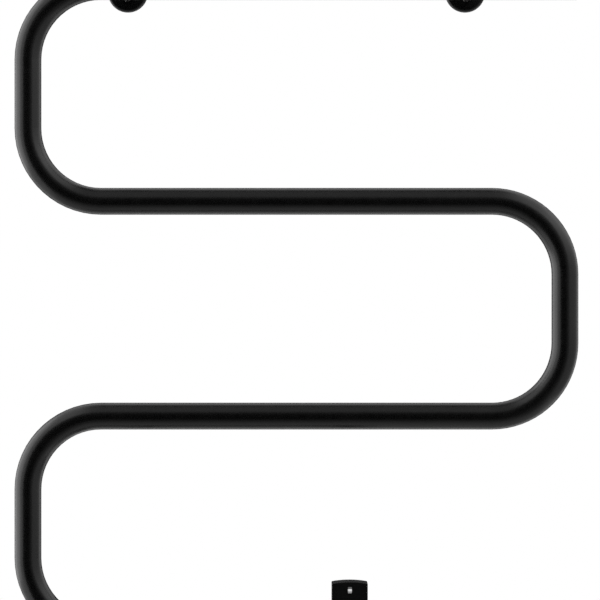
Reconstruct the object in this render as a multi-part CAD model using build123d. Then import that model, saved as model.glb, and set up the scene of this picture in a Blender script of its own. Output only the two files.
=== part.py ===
from build123d import *
from math import sqrt
import os

# Electric heated towel rail, in millimetres. X points right, Z up and -Y out of the wall towards the
# user. The wall is the plane y = 0, and the origin lies on it, midway between the two upper fixings.

# Rail: one tube bent into bars and hairpin loops
TUBE_DIAMETER = 25.0
TUBE_WALL = 1.5
BAR_COUNT = 4
BAR_PITCH = 200.0
LOOP_SPAN = 500.0
BEND_RADIUS = 68.0
PROJECTION = 80.0

# Cap in the free end of the top bar
CAP_FLANGE = 3.0
CAP_DOME = 1.6
CAP_PLUG_LENGTH = 14.0
CAP_PLUG_CLEARANCE = 0.15
CAP_PLUG_CHAMFER = 1.0
O_RING_SECTION = 2.0
O_RING_GROOVE = 2.8

# Heating cable, lying on the lower wall of every bar
CABLE_DIAMETER = 5.0
CABLE_REST_GAP = 0.3
CABLE_BOOT_WALL = 0.65
CABLE_BOOT_LENGTH = 30.0
CABLE_BOOT_COVER = 22.0
CABLE_SET_BACK = 36.0
CABLE_RISE_LENGTH = 36.0
CABLE_RISE_RADIUS = 70.0
CABLE_TAIL = 5.0
CABLE_LEAD_IN = 6.0
BUSH_LENGTH = 12.0
BUSH_FLANGE = 1.2
BUSH_RIM = 0.5

# Posts that stand the rail off the wall
POST_DIAMETER = 18.0
POST_WALL = 2.0
UPPER_POST_SPACING = 320.0
LOWER_POST_X = -150.0
MOUNT_DISC_DIAMETER = 34.0
MOUNT_DISC_THICKNESS = 4.0
MOUNT_DISC_EDGE = 0.6
MOUNT_BOSS_LENGTH = 15.0
MOUNT_BOSS_WALL = 1.7
MOUNT_BOSS_CLEARANCE = 0.1
SCREW_HOLE_DIAMETER = 5.0
SCREW_HOLE_LAND = 1.5
GRUB_DIAMETER = 4.0
GRUB_LENGTH = 3.0
GRUB_HEX = 2.0
GRUB_HEX_DEPTH = 1.5
GRUB_SET_BACK = 13.0
ROSETTE_RIM_GAP = 0.5
ROSETTE_HEIGHT = 8.0
ROSETTE_SLOPE = 1.4
ROSETTE_WALL = 1.5
ROSETTE_EDGE = 3.0
ROSETTE_CLEARANCE = 0.15

# Cable post behind the control unit
NECK_DIAMETER = 14.0
NECK_WALL = 2.0
NECK_CLEARANCE = 0.1
NUT_ACROSS_FLATS = 17.0
NUT_THICKNESS = 2.5
NECK_STAND_OUT = 0.2
POST_BORE_RELIEF = 1.0
CABLE_ENTRY_DIAMETER = 10.0
CABLE_MOUNT_HOLE = 4.0
CABLE_MOUNT_LAND = 2.4
CABLE_MOUNT_SPACING = 26.0
GROMMET_FLANGE = 1.0
GROMMET_RIM = 1.2
GROMMET_DEPTH = 7.0
GROMMET_HOLE = 8.0

# Control unit casing, split through the tube's axis
CASING_WIDTH = 33.4
CASING_HEIGHT = 93.5
CASING_DEPTH = 36.0
CASING_CROWN = 1.5
CASING_CORNER = 1.0
CASING_EDGE = 0.8
CASING_JOINT_CHAMFER = 0.3
CASING_WALL = 2.2
CASING_FACE_WALL = 2.5
CASING_X = 49.45
TUBE_GRIP_CLEARANCE = 0.1
TUBE_GRIP_LENGTH = 5.6
TUBE_GRIP_WALL = 3.2
TUBE_SEAL_SECTION = 1.4
TUBE_SEAL_WIDTH = 2.0
TUBE_OVERHANG = 0.6
SHELL_SEAL_INSET = 0.7
SHELL_SEAL_WIDTH = 0.9
SHELL_SEAL_DEPTH = 1.0
SCREW_BOSS = 6.4
SCREW_DIAMETER = 2.5
SCREW_CLEARANCE = 0.1
SCREW_HEAD_DIAMETER = 5.0
SCREW_HEAD_HEIGHT = 1.8
SCREW_HEAD_CLEARANCE = 0.2
SCREW_CROSS_SPAN = 3.0
SCREW_CROSS_SLOT = 0.65
SCREW_LENGTH = 18.0
SCREW_HEAD_DEPTH = 9.0
SCREW_TIP_GAP = 0.5

# Status window and lamp
LENS_WIDTH = 3.9
LENS_HEIGHT = 5.8
LENS_CORNER = 0.8
LENS_BELOW_TOP = 7.7
LENS_FLANGE = 1.2
LENS_FLANGE_THICKNESS = 1.2
LAMP_DIAMETER = 3.0
LAMP_LENGTH = 4.4
LAMP_RIM = 0.4
LAMP_RIM_HEIGHT = 0.8
LAMP_GAP = 0.3

# Push button
BUTTON_DIAMETER = 13.6
BUTTON_BELOW_TOP = 26.25
BUTTON_GAP = 0.3
BUTTON_PROUD = 1.0
BUTTON_DISH = 0.5
BUTTON_EDGE = 0.6
BUTTON_FLANGE = 1.0
BUTTON_FLANGE_THICKNESS = 1.2
BUTTON_SEAT_GAP = 0.3
BUTTON_TRAVEL = 1.5
PLUNGER_DIAMETER = 4.0
PLUNGER_GAP = 0.3
PLUNGER_TIP_DIAMETER = 3.0
PLUNGER_TIP_LENGTH = 1.4
SWITCH_SIZE = 8.0
SWITCH_CORNER = 1.0
SWITCH_HEIGHT = 4.0
SWITCH_FLOOR = 0.4

# Circuit board and what it carries
BOARD_SIDE_GAP = 1.3
BOARD_THICKNESS = 1.6
BOARD_STAND_OFF = 7.5
BOARD_TOP_MARGIN = 1.8
BOARD_GAP = 1.0
PILLAR_DIAMETER = 4.6
PILLAR_MARGIN = 0.2
BOARD_SCREW_DIAMETER = 2.0
BOARD_SCREW_LENGTH = 6.0
BOARD_SCREW_HEAD = 3.8
BOARD_SCREW_HEAD_HEIGHT = 1.3
BOARD_SCREW_SLOT = 0.5
CONNECTOR_PITCH = 4.5
CONNECTOR_POLES = 4
CONNECTOR_HEIGHT = 8.0
CONNECTOR_DEPTH = 9.6
CONNECTOR_OFFSET = 0.25
CONNECTOR_SCREW = 3.0
CONNECTOR_SCREW_SINK = 0.8
COMPONENT_GAP = 0.8
COMPONENT_CORNER = 0.6
RELAY_WIDTH = 17.0
RELAY_DEPTH = 15.0
RELAY_HEIGHT = 7.2
CAPACITOR_WIDTH = 13.0
CAPACITOR_DEPTH = 11.0
CAPACITOR_HEIGHT = 5.0
FUSE_DIAMETER = 3.6
FUSE_LENGTH = 9.0
FUSE_CHAMFER = 0.45

# Supply terminals and wires
TERMINAL_PITCH = 6.5
TERMINAL_COUNT = 3
TERMINAL_END = 0.5
TERMINAL_HEIGHT = 16.0
TERMINAL_DEPTH = 10.0
TERMINAL_GAP = 0.3
TERMINAL_HOLE = 3.0
TERMINAL_SCREW = 3.2
TERMINAL_SCREW_LENGTH = 2.0
TERMINAL_SCREW_SINK = 1.0
TERMINAL_SLOT_WIDTH = 0.65
TERMINAL_SLOT_DEPTH = 0.6
WIRE_DIAMETER = 1.8
WIRE_BEND = 4.0
WIRE_INSERTION = 4.0
CORE_SPACING = 2.4
EARTH_BEND = 3.0
EARTH_TAB_WIDTH = 6.3
EARTH_TAB_THICKNESS = 0.8
EARTH_TAB_LENGTH = 24.0
EARTH_TAB_REACH = 9.0
EARTH_SLEEVE_LENGTH = 7.0
EARTH_SLEEVE_WALL = 0.8
EARTH_BARREL_LENGTH = 3.0
EARTH_BARREL_WALL = 0.6

# Gap left where two pieces of the same assembly seat on each other
FIT_GAP = 0.05

# Rail, worked out from the sizes above
tube_radius = TUBE_DIAMETER / 2
bore_radius = tube_radius - TUBE_WALL
half_span = LOOP_SPAN / 2
bar_heights = [-BAR_PITCH * bar for bar in range(BAR_COUNT)]
bottom = bar_heights[-1]
axis_y = -PROJECTION
cap_seat = half_span + tube_radius - CAP_FLANGE
boot_radius = CABLE_DIAMETER / 2 + CABLE_BOOT_WALL
cable_drop = bore_radius - boot_radius - CABLE_REST_GAP
cable_start = cap_seat - CABLE_SET_BACK

# Posts
post_radius = POST_DIAMETER / 2
post_bore_radius = post_radius - POST_WALL
boss_radius = post_bore_radius - MOUNT_BOSS_CLEARANCE
boss_end = -MOUNT_DISC_THICKNESS - MOUNT_BOSS_LENGTH
grub_seat_radius = post_radius - GRUB_LENGTH
post_places = {
    "upper_left": (-UPPER_POST_SPACING / 2, bar_heights[0]),
    "upper_right": (UPPER_POST_SPACING / 2, bar_heights[0]),
    "lower_left": (LOWER_POST_X, bottom),
}
cable_post_place = (CASING_X, bottom)

# Casing, as depths along Y and as distances from its centre
front_face = axis_y - CASING_DEPTH / 2
rear_face = axis_y + CASING_DEPTH / 2
front_inside = front_face + CASING_FACE_WALL
rear_inside = rear_face - CASING_FACE_WALL
neck_end = rear_inside - NUT_THICKNESS - NECK_STAND_OUT
casing_left = CASING_X - CASING_WIDTH / 2
tube_end = casing_left + TUBE_GRIP_LENGTH + TUBE_OVERHANG
grip_radius = tube_radius + TUBE_GRIP_WALL
screw_x = CASING_WIDTH / 2 - CASING_WALL - SCREW_BOSS / 2
screw_z = CASING_HEIGHT / 2 - CASING_CROWN - CASING_WALL - SCREW_BOSS / 2
lens_z = CASING_HEIGHT / 2 - LENS_BELOW_TOP
button_z = CASING_HEIGHT / 2 - BUTTON_BELOW_TOP

# Circuit board
board_front = front_inside + BOARD_STAND_OFF
board_rear = board_front + BOARD_THICKNESS
board_half_width = CASING_WIDTH / 2 - CASING_WALL - BOARD_SIDE_GAP
board_top = CASING_HEIGHT / 2 - CASING_WALL - BOARD_TOP_MARGIN
board_bottom = grip_radius
board_shoulder = screw_z - SCREW_BOSS / 2 - BOARD_GAP
pillar_x = board_half_width - PILLAR_DIAMETER / 2 - PILLAR_MARGIN
upper_pillar_z = board_shoulder - PILLAR_DIAMETER / 2 - PILLAR_MARGIN
lower_pillar_z = board_bottom + PILLAR_DIAMETER / 2 + PILLAR_MARGIN
switch_face = board_front - SWITCH_HEIGHT
plunger_shoulder = front_inside + BUTTON_SEAT_GAP + BUTTON_FLANGE_THICKNESS
connector_poles = [
    CONNECTOR_OFFSET + CONNECTOR_PITCH * (pole - (CONNECTOR_POLES - 1) / 2)
    for pole in range(CONNECTOR_POLES)
]

# Supply terminals and earth connection
terminal_top = SCREW_BOSS / 2 - screw_z + TERMINAL_GAP + TERMINAL_HEIGHT
terminal_front = rear_inside - TERMINAL_DEPTH
terminal_y = rear_inside - TERMINAL_DEPTH / 2
terminal_poles = [
    TERMINAL_PITCH * (pole - (TERMINAL_COUNT - 1) / 2) for pole in range(TERMINAL_COUNT)
]
tab_bottom = -sqrt(bore_radius**2 - (EARTH_TAB_WIDTH / 2) ** 2) + FIT_GAP
tab_end = tube_end + EARTH_TAB_REACH


def facing_front(sketch, back, front, x=0.0, z=0.0):
    """Extrude a sketch drawn as seen from the front, from depth back forward to depth front."""
    view = Plane(origin=(x, back, z), x_dir=(1, 0, 0), z_dir=(0, -1, 0))
    return extrude(view * sketch, back - front)


def in_casing(sketch, back, front, x=0.0, z=0.0):
    """The same, placed from the centre of the control unit."""
    return facing_front(sketch, back, front, CASING_X + x, bottom + z)


def seen_from_above(sketch, base, top, x, y):
    """Extrude a sketch drawn as seen from above, from height base up to height top."""
    return extrude(Plane(origin=(x, y, base)) * sketch, top - base)


def turned(profile, place):
    """Revolve (radius, y) points about the line along Y through place, an x and a z."""
    x, z = place
    section = make_face(Polyline([(x + radius, y, z) for radius, y in profile], close=True))
    return revolve(section, Axis((x, 0, z), (0, 1, 0)))


def turned_along_x(profile, y, z):
    """Revolve (x, radius) points about the line along X through y, z."""
    section = make_face(Polyline([(x, y + radius, z) for x, radius in profile], close=True))
    return revolve(section, Axis((0, y, z), (1, 0, 0)))


def swept(section, points, bends):
    """Sweep a section along straight runs joined by arcs, one bend for each inner point."""
    path = FilletPolyline(*points, radius=bends)
    start = Plane(origin=path @ 0, z_dir=path % 0)
    return sweep(start * section, path=path)


def serpentine(start_x, drop):
    """Corners and bends of the tube's centre line, or of a line lying drop below it in each bar."""
    points = [(start_x, axis_y, bar_heights[0] - drop)]
    bends = []
    side = -1
    for upper, lower in zip(bar_heights, bar_heights[1:]):
        turn_x = side * (half_span - drop)
        points += [(turn_x, axis_y, upper - drop), (turn_x, axis_y, lower - drop)]
        bends += [BEND_RADIUS - drop, BEND_RADIUS]
        side = -side
    return points, bends


def rail_tube():
    points, bends = serpentine(cap_seat, 0.0)
    points.append((tube_end, axis_y, bottom))
    return swept(Circle(tube_radius) - Circle(bore_radius), points, bends)


def end_cap():
    plug_radius = bore_radius - CAP_PLUG_CLEARANCE
    plug_end = cap_seat - CAP_PLUG_LENGTH
    groove_radius = bore_radius - O_RING_SECTION
    groove_centre = cap_seat - CAP_PLUG_LENGTH / 2
    crown = cap_seat + CAP_FLANGE
    outline = [
        (crown, 0),
        (plug_end, 0),
        (plug_end, plug_radius - CAP_PLUG_CHAMFER),
        (plug_end + CAP_PLUG_CHAMFER, plug_radius),
        (groove_centre - O_RING_GROOVE / 2, plug_radius),
        (groove_centre - O_RING_GROOVE / 2, groove_radius),
        (groove_centre + O_RING_GROOVE / 2, groove_radius),
        (groove_centre + O_RING_GROOVE / 2, plug_radius),
        (cap_seat, plug_radius),
        (cap_seat, tube_radius),
        (crown - CAP_DOME, tube_radius),
    ]
    sides = Polyline(*[(x, axis_y + radius) for x, radius in outline])
    dome = TangentArc(sides @ 0, sides @ 1, tangent=(0, 1))
    section = make_face(sides.edges() + dome.edges())
    return revolve(section, Axis((0, axis_y, 0), (1, 0, 0)))


def end_cap_seal():
    centre = (cap_seat - CAP_PLUG_LENGTH / 2, axis_y, bar_heights[0])
    ring_radius = bore_radius - O_RING_SECTION / 2
    return Plane(origin=centre, z_dir=(1, 0, 0)) * Torus(ring_radius, O_RING_SECTION / 2 - FIT_GAP)


def heating_cable():
    points, bends = serpentine(cable_start, cable_drop)
    rise_end = tube_end - BUSH_LENGTH - CABLE_LEAD_IN
    points.append((rise_end - CABLE_RISE_LENGTH, axis_y, bottom - cable_drop))
    points.append((rise_end, axis_y, bottom))
    points.append((tube_end + CABLE_TAIL, axis_y, bottom))
    bends += [CABLE_RISE_RADIUS, CABLE_RISE_RADIUS]
    return swept(Circle(CABLE_DIAMETER / 2), points, bends)


def cable_end_boot():
    core_radius = CABLE_DIAMETER / 2 + FIT_GAP
    boot_start = cable_start - CABLE_BOOT_COVER
    boot_end = boot_start + CABLE_BOOT_LENGTH
    bore_end = cable_start + FIT_GAP
    profile = [
        (boot_start, core_radius),
        (boot_start, boot_radius),
        (boot_end - boot_radius / 2, boot_radius),
        (boot_end, boot_radius / 2),
        (boot_end, 0),
        (bore_end, 0),
        (bore_end, core_radius),
    ]
    return turned_along_x(profile, axis_y, bar_heights[0] - cable_drop)


def tube_bush():
    hole_radius = CABLE_DIAMETER / 2 + FIT_GAP
    body_radius = bore_radius - 2 * FIT_GAP
    flange_end = tube_end + BUSH_FLANGE
    profile = [
        (tube_end - BUSH_LENGTH, hole_radius),
        (tube_end - BUSH_LENGTH, body_radius),
        (tube_end, body_radius),
        (tube_end, tube_radius - BUSH_RIM),
        (flange_end, tube_radius - BUSH_RIM),
        (flange_end, hole_radius),
    ]
    bush = turned_along_x(profile, axis_y, bottom)
    slot = Rectangle(2 * BUSH_LENGTH + 2 * BUSH_FLANGE, EARTH_TAB_WIDTH + 2 * FIT_GAP)
    slot_top = bottom + tab_bottom + EARTH_TAB_THICKNESS + FIT_GAP
    return bush - seen_from_above(slot, bottom - body_radius, slot_top, tube_end, axis_y)


def grub_hole(place):
    """The hole from a post's underside to the seat of its grub screw."""
    x, z = place
    hole = Circle(GRUB_DIAMETER / 2 + FIT_GAP)
    seat = z - grub_seat_radius
    return seen_from_above(hole, z - 2 * post_radius, seat + FIT_GAP, x, -GRUB_SET_BACK)


def post_stub(place):
    x, z = place
    ring = Circle(post_radius) - Circle(post_bore_radius)
    stub = facing_front(ring, -MOUNT_DISC_THICKNESS, axis_y, x, z)
    across = Plane(origin=(x - POST_DIAMETER, axis_y, z), z_dir=(1, 0, 0))
    saddle = extrude(across * Circle(tube_radius), 2 * POST_DIAMETER)
    return stub - saddle - grub_hole(place)


def wall_mount(place):
    hole_radius = SCREW_HOLE_DIAMETER / 2
    sink_radius = hole_radius + MOUNT_DISC_THICKNESS - SCREW_HOLE_LAND
    disc_radius = MOUNT_DISC_DIAMETER / 2
    profile = [
        (hole_radius, 0),
        (disc_radius, 0),
        (disc_radius, MOUNT_DISC_EDGE - MOUNT_DISC_THICKNESS),
        (disc_radius - MOUNT_DISC_EDGE, -MOUNT_DISC_THICKNESS),
        (boss_radius, -MOUNT_DISC_THICKNESS),
        (boss_radius, boss_end),
        (boss_radius - MOUNT_BOSS_WALL, boss_end),
        (boss_radius - MOUNT_BOSS_WALL, -MOUNT_DISC_THICKNESS),
        (sink_radius, -MOUNT_DISC_THICKNESS),
        (hole_radius, -SCREW_HOLE_LAND),
    ]
    return turned(profile, place) - grub_hole(place)


def rosette(place):
    x, z = place
    hole_radius = post_radius + ROSETTE_CLEARANCE
    inner_radius = MOUNT_DISC_DIAMETER / 2 + ROSETTE_RIM_GAP
    outer_radius = inner_radius + ROSETTE_WALL
    shoulder = ROSETTE_SLOPE - ROSETTE_HEIGHT
    profile = [
        (inner_radius, 0),
        (outer_radius, 0),
        (outer_radius, shoulder),
        (hole_radius, -ROSETTE_HEIGHT),
        (hole_radius, ROSETTE_WALL - ROSETTE_HEIGHT),
        (inner_radius, shoulder + ROSETTE_WALL),
    ]
    section = make_face(Polyline([(x + radius, y, z) for radius, y in profile], close=True))
    outer_corner = section.vertices().sort_by_distance((x + outer_radius, shoulder, z))[0]
    return revolve(fillet(outer_corner, ROSETTE_EDGE), Axis((x, 0, z), (0, 1, 0)))


def grub_screw(place):
    x, z = place
    foot = z - post_radius
    body = seen_from_above(Circle(GRUB_DIAMETER / 2), foot, z - grub_seat_radius, x, -GRUB_SET_BACK)
    hexagon = RegularPolygon(GRUB_HEX / 2, 6, major_radius=False)
    return body - seen_from_above(hexagon, foot, foot + GRUB_HEX_DEPTH, x, -GRUB_SET_BACK)


def grub_screws():
    return [grub_screw(place) for place in [*post_places.values(), cable_post_place]]


def cable_post():
    neck_radius = NECK_DIAMETER / 2
    relief_end = boss_end - POST_BORE_RELIEF
    profile = [
        (post_bore_radius, -MOUNT_DISC_THICKNESS),
        (post_radius, -MOUNT_DISC_THICKNESS),
        (post_radius, rear_face),
        (neck_radius, rear_face),
        (neck_radius, neck_end),
        (neck_radius - NECK_WALL, neck_end),
        (neck_radius - NECK_WALL, relief_end),
        (post_bore_radius, relief_end),
    ]
    return turned(profile, cable_post_place) - grub_hole(cable_post_place)


def cable_wall_mount():
    entry_radius = CABLE_ENTRY_DIAMETER / 2
    disc_radius = MOUNT_DISC_DIAMETER / 2
    profile = [
        (entry_radius, 0),
        (disc_radius, 0),
        (disc_radius, MOUNT_DISC_EDGE - MOUNT_DISC_THICKNESS),
        (disc_radius - MOUNT_DISC_EDGE, -MOUNT_DISC_THICKNESS),
        (boss_radius, -MOUNT_DISC_THICKNESS),
        (boss_radius, boss_end),
        (entry_radius, boss_end),
    ]
    mount = turned(profile, cable_post_place) - grub_hole(cable_post_place)
    hole_radius = CABLE_MOUNT_HOLE / 2
    sink_radius = hole_radius + MOUNT_DISC_THICKNESS - CABLE_MOUNT_LAND
    screw_hole = [
        (0, 0),
        (hole_radius, 0),
        (hole_radius, -CABLE_MOUNT_LAND),
        (sink_radius, -MOUNT_DISC_THICKNESS),
        (0, -MOUNT_DISC_THICKNESS),
    ]
    for side in (-1, 1):
        mount -= turned(screw_hole, (CASING_X + side * CABLE_MOUNT_SPACING / 2, bottom))
    return mount


def post_nut():
    hexagon = RegularPolygon(NUT_ACROSS_FLATS / 2, 6, major_radius=False, rotation=30)
    ring = hexagon - Circle(NECK_DIAMETER / 2 + FIT_GAP)
    return in_casing(ring, rear_inside, rear_inside - NUT_THICKNESS)


def cable_grommet():
    body_radius = NECK_DIAMETER / 2 - NECK_WALL - FIT_GAP
    profile = [
        (GROMMET_HOLE / 2, neck_end + GROMMET_DEPTH),
        (body_radius, neck_end + GROMMET_DEPTH),
        (body_radius, neck_end),
        (body_radius + GROMMET_RIM, neck_end),
        (body_radius + GROMMET_RIM, neck_end - GROMMET_FLANGE),
        (GROMMET_HOLE / 2, neck_end - GROMMET_FLANGE),
    ]
    return turned(profile, cable_post_place)


def casing_outline(inset=0.0):
    """The casing as seen from the front: straight sides, with a shallow arch at the top and bottom."""
    half_width = CASING_WIDTH / 2 - inset
    crown = CASING_HEIGHT / 2 - inset
    side = crown - CASING_CROWN
    upper = ThreePointArc((-half_width, side), (0, crown), (half_width, side))
    right = Line(upper @ 1, (half_width, -side))
    lower = ThreePointArc(right @ 1, (0, -crown), (-half_width, -side))
    left = Line(lower @ 1, upper @ 0)
    outline = make_face([upper, right, lower, left])
    return fillet(outline.vertices(), CASING_CORNER)


def corner_bosses():
    """Bosses that fill the casing's corners round its four screws."""
    block = RectangleRounded(2 * SCREW_BOSS, 2 * SCREW_BOSS, SCREW_BOSS / 2)
    corners = GridLocations(2 * screw_x + SCREW_BOSS, 2 * screw_z + SCREW_BOSS, 2, 2)
    return (Sketch() + [corner * block for corner in corners]) & casing_outline(CASING_WALL / 2)


def screw_holes(radius, back, front):
    """A hole of this radius at each of the casing's four screws."""
    places = GridLocations(2 * screw_x, 2 * screw_z, 2, 2)
    return in_casing(Sketch() + [place * Circle(radius) for place in places], back, front)


def tube_passage():
    """The way in for the tube, with the groove of its seal."""
    hole_radius = tube_radius + TUBE_GRIP_CLEARANCE
    groove_radius = tube_radius + TUBE_SEAL_SECTION
    groove_centre = casing_left + (CASING_WALL + TUBE_GRIP_LENGTH) / 2
    groove_start = groove_centre - TUBE_SEAL_WIDTH / 2
    groove_end = groove_centre + TUBE_SEAL_WIDTH / 2
    profile = [
        (casing_left - CASING_WALL, 0),
        (casing_left - CASING_WALL, hole_radius),
        (groove_start, hole_radius),
        (groove_start, groove_radius),
        (groove_end, groove_radius),
        (groove_end, hole_radius),
        (tube_end, hole_radius),
        (tube_end, 0),
    ]
    return turned_along_x(profile, axis_y, bottom)


def tube_seal():
    groove_centre = casing_left + (CASING_WALL + TUBE_GRIP_LENGTH) / 2
    half_width = TUBE_SEAL_WIDTH / 2 - FIT_GAP
    profile = [
        (groove_centre - half_width, tube_radius + FIT_GAP),
        (groove_centre - half_width, tube_radius + TUBE_SEAL_SECTION - FIT_GAP),
        (groove_centre + half_width, tube_radius + TUBE_SEAL_SECTION - FIT_GAP),
        (groove_centre + half_width, tube_radius + FIT_GAP),
    ]
    return turned_along_x(profile, axis_y, bottom)


def half_casing(face, inside):
    """One open half: a walled shell with corner bosses and a collar, chamfered where the halves meet."""
    outer = in_casing(casing_outline(), axis_y, face)
    outer_face = outer.faces().sort_by_distance((CASING_X, face, bottom))[0]
    outer = fillet(outer_face.edges(), CASING_EDGE)
    joint_face = outer.faces().sort_by_distance((CASING_X, axis_y, bottom))[0]
    outer = chamfer(joint_face.edges(), CASING_JOINT_CHAMFER)
    grip = [
        (casing_left, 0),
        (casing_left, grip_radius),
        (casing_left + TUBE_GRIP_LENGTH, grip_radius),
        (casing_left + TUBE_GRIP_LENGTH, 0),
    ]
    shell = outer - in_casing(casing_outline(CASING_WALL), axis_y, inside)
    shell += turned_along_x(grip, axis_y, bottom) & outer
    shell += in_casing(corner_bosses(), axis_y, inside)
    return shell - tube_passage()


def front_shell():
    shell = half_casing(front_face, front_inside)
    window = RectangleRounded(LENS_WIDTH + 2 * FIT_GAP, LENS_HEIGHT + 2 * FIT_GAP, LENS_CORNER)
    shell -= in_casing(window, front_inside, front_face, 0, lens_z)
    shell -= in_casing(Circle(BUTTON_DIAMETER / 2 + BUTTON_GAP), front_inside, front_face, 0, button_z)
    pilot = BOARD_SCREW_DIAMETER / 2 + FIT_GAP
    for side in (-1, 1):
        for height in (lower_pillar_z, upper_pillar_z):
            pillar = Circle(PILLAR_DIAMETER / 2)
            if height == upper_pillar_z:
                pillar -= Circle(pilot)
            shell += in_casing(pillar, board_front, front_inside, side * pillar_x, height)
    thread_end = rear_face - SCREW_HEAD_DEPTH - SCREW_LENGTH - SCREW_TIP_GAP
    return shell - screw_holes((SCREW_DIAMETER + SCREW_CLEARANCE) / 2, axis_y, thread_end)


def seal_ring(outer_inset, inner_inset):
    """The line of the seal round the casing's joint, open where the tube passes."""
    ring = casing_outline(outer_inset) - casing_outline(inner_inset)
    gap = Pos(-CASING_WIDTH / 2, 0) * Rectangle(CASING_WIDTH / 2, 2 * grip_radius)
    return ring - gap


def shell_seal():
    inner_inset = SHELL_SEAL_INSET + SHELL_SEAL_WIDTH - FIT_GAP
    ring = seal_ring(SHELL_SEAL_INSET + FIT_GAP, inner_inset)
    return in_casing(ring, axis_y + SHELL_SEAL_DEPTH - FIT_GAP, axis_y)


def rear_shell():
    shell = half_casing(rear_face, rear_inside)
    groove = seal_ring(SHELL_SEAL_INSET, SHELL_SEAL_INSET + SHELL_SEAL_WIDTH)
    shell -= in_casing(groove, axis_y + SHELL_SEAL_DEPTH, axis_y)
    shell -= in_casing(Circle(NECK_DIAMETER / 2 + NECK_CLEARANCE), rear_face, rear_inside)
    screw_seat = rear_face - SCREW_HEAD_DEPTH
    shell -= screw_holes(SCREW_HEAD_DIAMETER / 2 + SCREW_HEAD_CLEARANCE, rear_face, screw_seat)
    return shell - screw_holes((SCREW_DIAMETER + SCREW_CLEARANCE) / 2, screw_seat, axis_y)


def shell_screws():
    seat = rear_face - SCREW_HEAD_DEPTH
    slot = Rectangle(SCREW_CROSS_SPAN, SCREW_CROSS_SLOT)
    cross = slot + Rot(0, 0, 90) * slot
    screws = []
    for place in GridLocations(2 * screw_x, 2 * screw_z, 2, 2):
        x, z = place.position.X, place.position.Y
        head = in_casing(Circle(SCREW_HEAD_DIAMETER / 2), seat + SCREW_HEAD_HEIGHT, seat, x, z)
        shank = in_casing(Circle(SCREW_DIAMETER / 2), seat, seat - SCREW_LENGTH, x, z)
        recess_floor = seat + SCREW_HEAD_HEIGHT / 2
        screws.append(head + shank - in_casing(cross, seat + SCREW_HEAD_HEIGHT, recess_floor, x, z))
    return screws


def status_lens():
    window = RectangleRounded(LENS_WIDTH, LENS_HEIGHT, LENS_CORNER - FIT_GAP)
    flange = RectangleRounded(LENS_WIDTH + 2 * LENS_FLANGE, LENS_HEIGHT + 2 * LENS_FLANGE, LENS_CORNER)
    flange_rear = front_inside + LENS_FLANGE_THICKNESS
    lamp_tip = board_front - LAMP_LENGTH
    lens = in_casing(window, front_inside, front_face, 0, lens_z)
    lens += in_casing(flange, flange_rear, front_inside, 0, lens_z)
    return lens + in_casing(Circle(LENS_WIDTH / 2), lamp_tip - LAMP_GAP, flange_rear, 0, lens_z)


def status_led():
    radius = LAMP_DIAMETER / 2
    shoulder = board_front - LAMP_LENGTH + radius
    base = in_casing(Circle(radius + LAMP_RIM), board_front, board_front - LAMP_RIM_HEIGHT, 0, lens_z)
    stem = in_casing(Circle(radius), board_front, shoulder, 0, lens_z)
    return base + stem + Pos(CASING_X, shoulder, bottom + lens_z) * Sphere(radius)


def button_cap():
    radius = BUTTON_DIAMETER / 2
    crown = front_face - BUTTON_PROUD
    flange_radius = radius + BUTTON_FLANGE
    socket_radius = PLUNGER_TIP_DIAMETER / 2 + FIT_GAP
    socket_floor = plunger_shoulder - PLUNGER_TIP_LENGTH - FIT_GAP
    flange_front = plunger_shoulder - BUTTON_FLANGE_THICKNESS
    outline = [
        (radius - BUTTON_EDGE, crown),
        (radius, crown + BUTTON_EDGE),
        (radius, flange_front),
        (flange_radius, flange_front),
        (flange_radius, plunger_shoulder),
        (socket_radius, plunger_shoulder),
        (socket_radius, socket_floor),
        (0, socket_floor),
        (0, crown + BUTTON_DISH),
    ]
    centre_z = bottom + button_z
    sides = Polyline(*[(CASING_X + r, y, centre_z) for r, y in outline])
    dish = TangentArc(sides @ 1, sides @ 0, tangent=(1, 0, 0))
    section = make_face(sides.edges() + dish.edges())
    return revolve(section, Axis((CASING_X, 0, centre_z), (0, 1, 0)))


def switch_plunger():
    tip_front = plunger_shoulder - PLUNGER_TIP_LENGTH
    tip = in_casing(Circle(PLUNGER_TIP_DIAMETER / 2), plunger_shoulder, tip_front, 0, button_z)
    inner_end = board_front - SWITCH_FLOOR - PLUNGER_GAP - BUTTON_TRAVEL
    return tip + in_casing(Circle(PLUNGER_DIAMETER / 2), inner_end, plunger_shoulder, 0, button_z)


def switch_body():
    outline = RectangleRounded(SWITCH_SIZE, SWITCH_SIZE, SWITCH_CORNER)
    body = in_casing(outline, board_front, switch_face, 0, button_z)
    bore = Circle(PLUNGER_DIAMETER / 2 + PLUNGER_GAP)
    return body - in_casing(bore, board_front - SWITCH_FLOOR, switch_face, 0, button_z)


def circuit_board():
    neck_half_width = screw_x - SCREW_BOSS / 2 - BOARD_GAP
    outline = Polyline(
        (-board_half_width, board_bottom),
        (board_half_width, board_bottom),
        (board_half_width, board_shoulder),
        (neck_half_width, board_shoulder),
        (neck_half_width, board_top),
        (-neck_half_width, board_top),
        (-neck_half_width, board_shoulder),
        (-board_half_width, board_shoulder),
        close=True,
    )
    board = make_face(outline)
    for side in (-1, 1):
        board -= Pos(side * pillar_x, upper_pillar_z) * Circle(BOARD_SCREW_DIAMETER / 2 + 2 * FIT_GAP)
    return in_casing(board, board_rear, board_front)


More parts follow.
